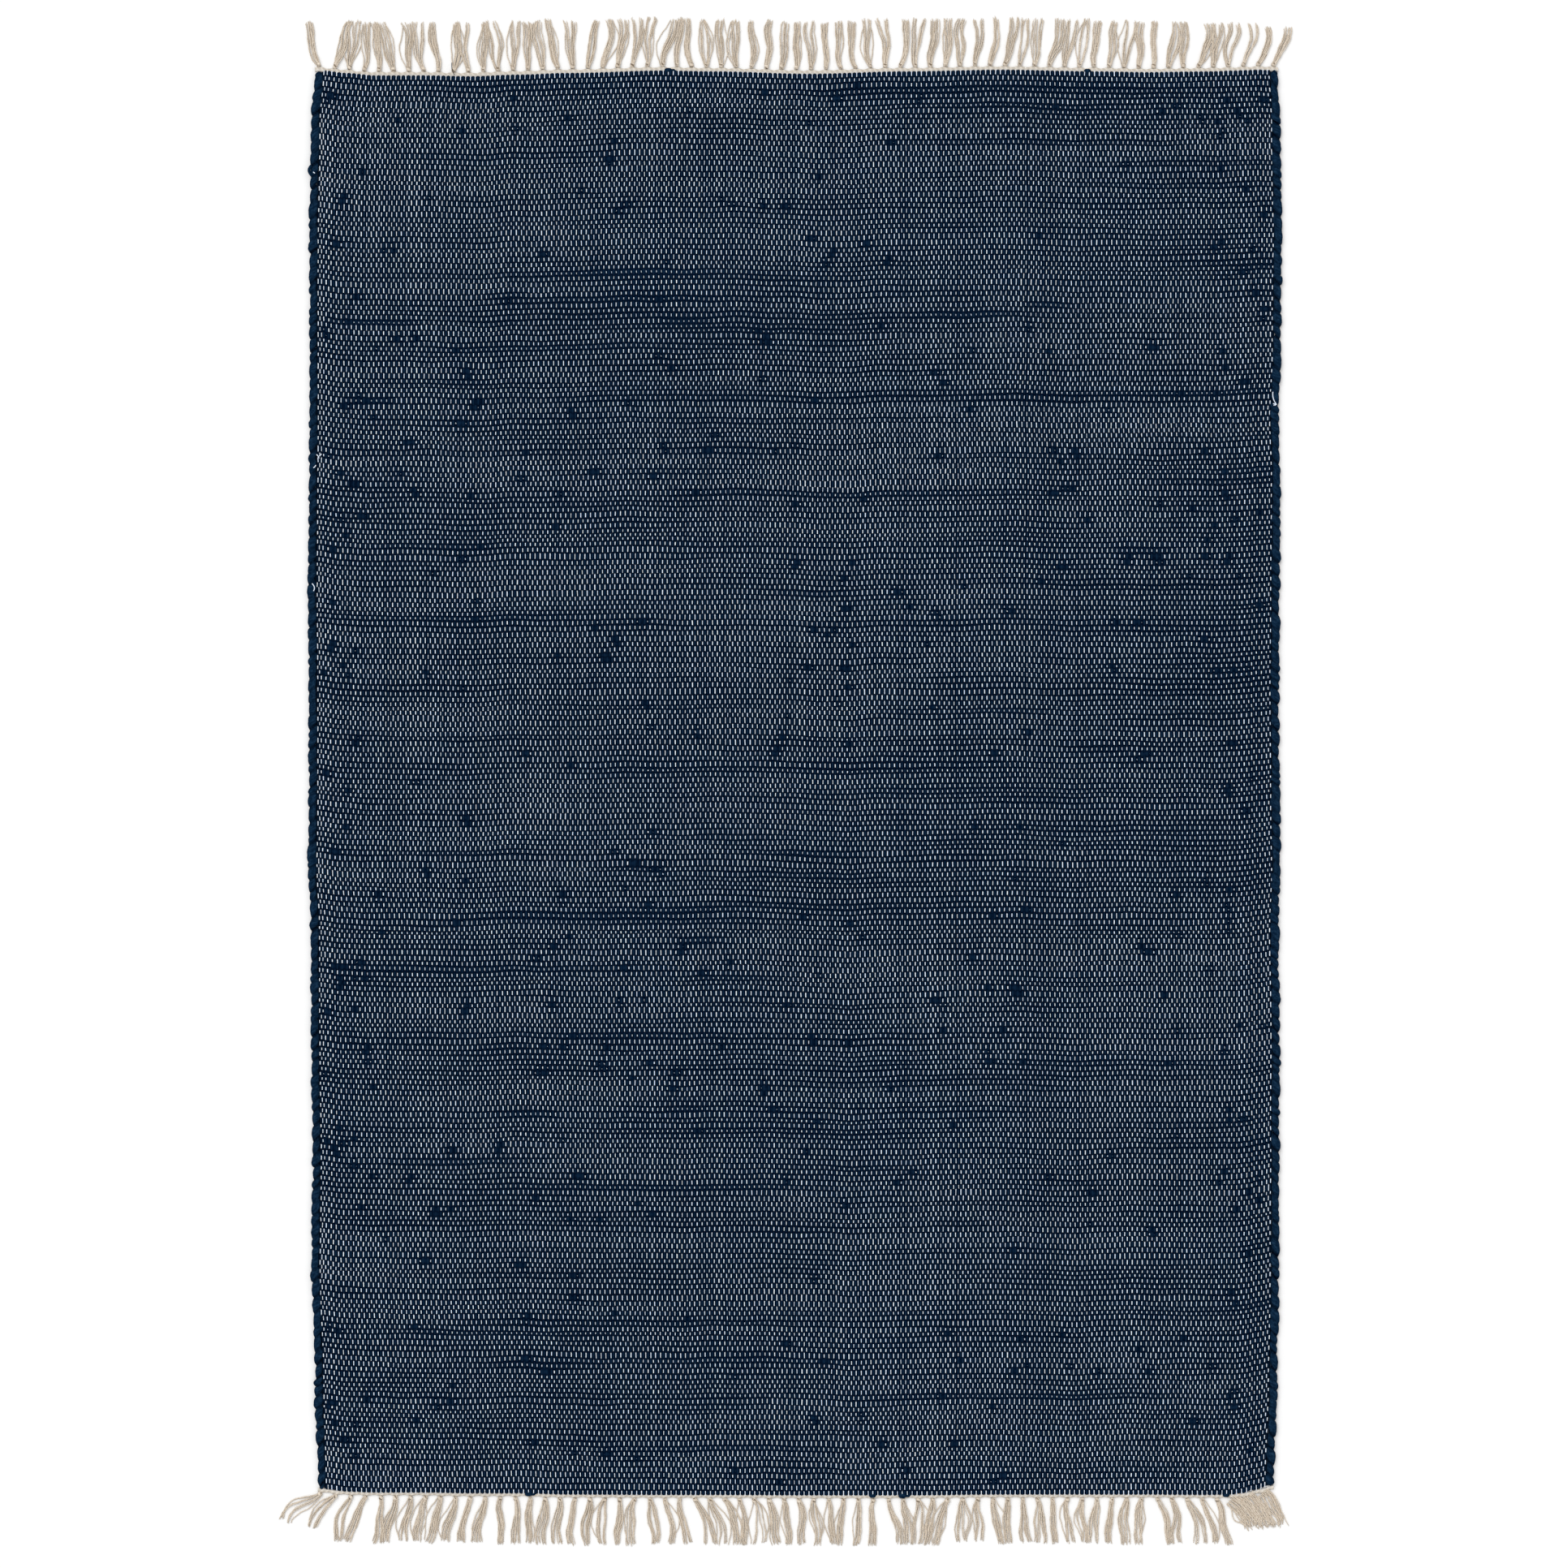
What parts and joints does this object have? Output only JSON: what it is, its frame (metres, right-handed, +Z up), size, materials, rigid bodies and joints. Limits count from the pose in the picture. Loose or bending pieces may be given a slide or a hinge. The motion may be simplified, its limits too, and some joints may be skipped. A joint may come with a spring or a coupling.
{
  "type": "cotton rag rug with tassel fringe",
  "caption": "Flat-woven rectangular cotton rug in navy rag weft over cream warp, with rolled selvedges and a knotted tassel fringe along both ends.",
  "frame": {"origin": "middle of the rug's outline, fringe included, on its underside", "axes": "+Z up out of the face, +Y along the length towards the head end, +X across the width"},
  "size_m": [1.2462, 1.8794, 0.0062],
  "materials": {
    "navy_rag_cotton": "matt woven rag cotton",
    "cream_cotton": "matt twisted cotton yarn"
  },
  "bodies": {
    "root": {"rug_body": "navy_rag_cotton", "fringe_head": "cream_cotton", "fringe_foot": "cream_cotton"}
  },
  "joints": []
}
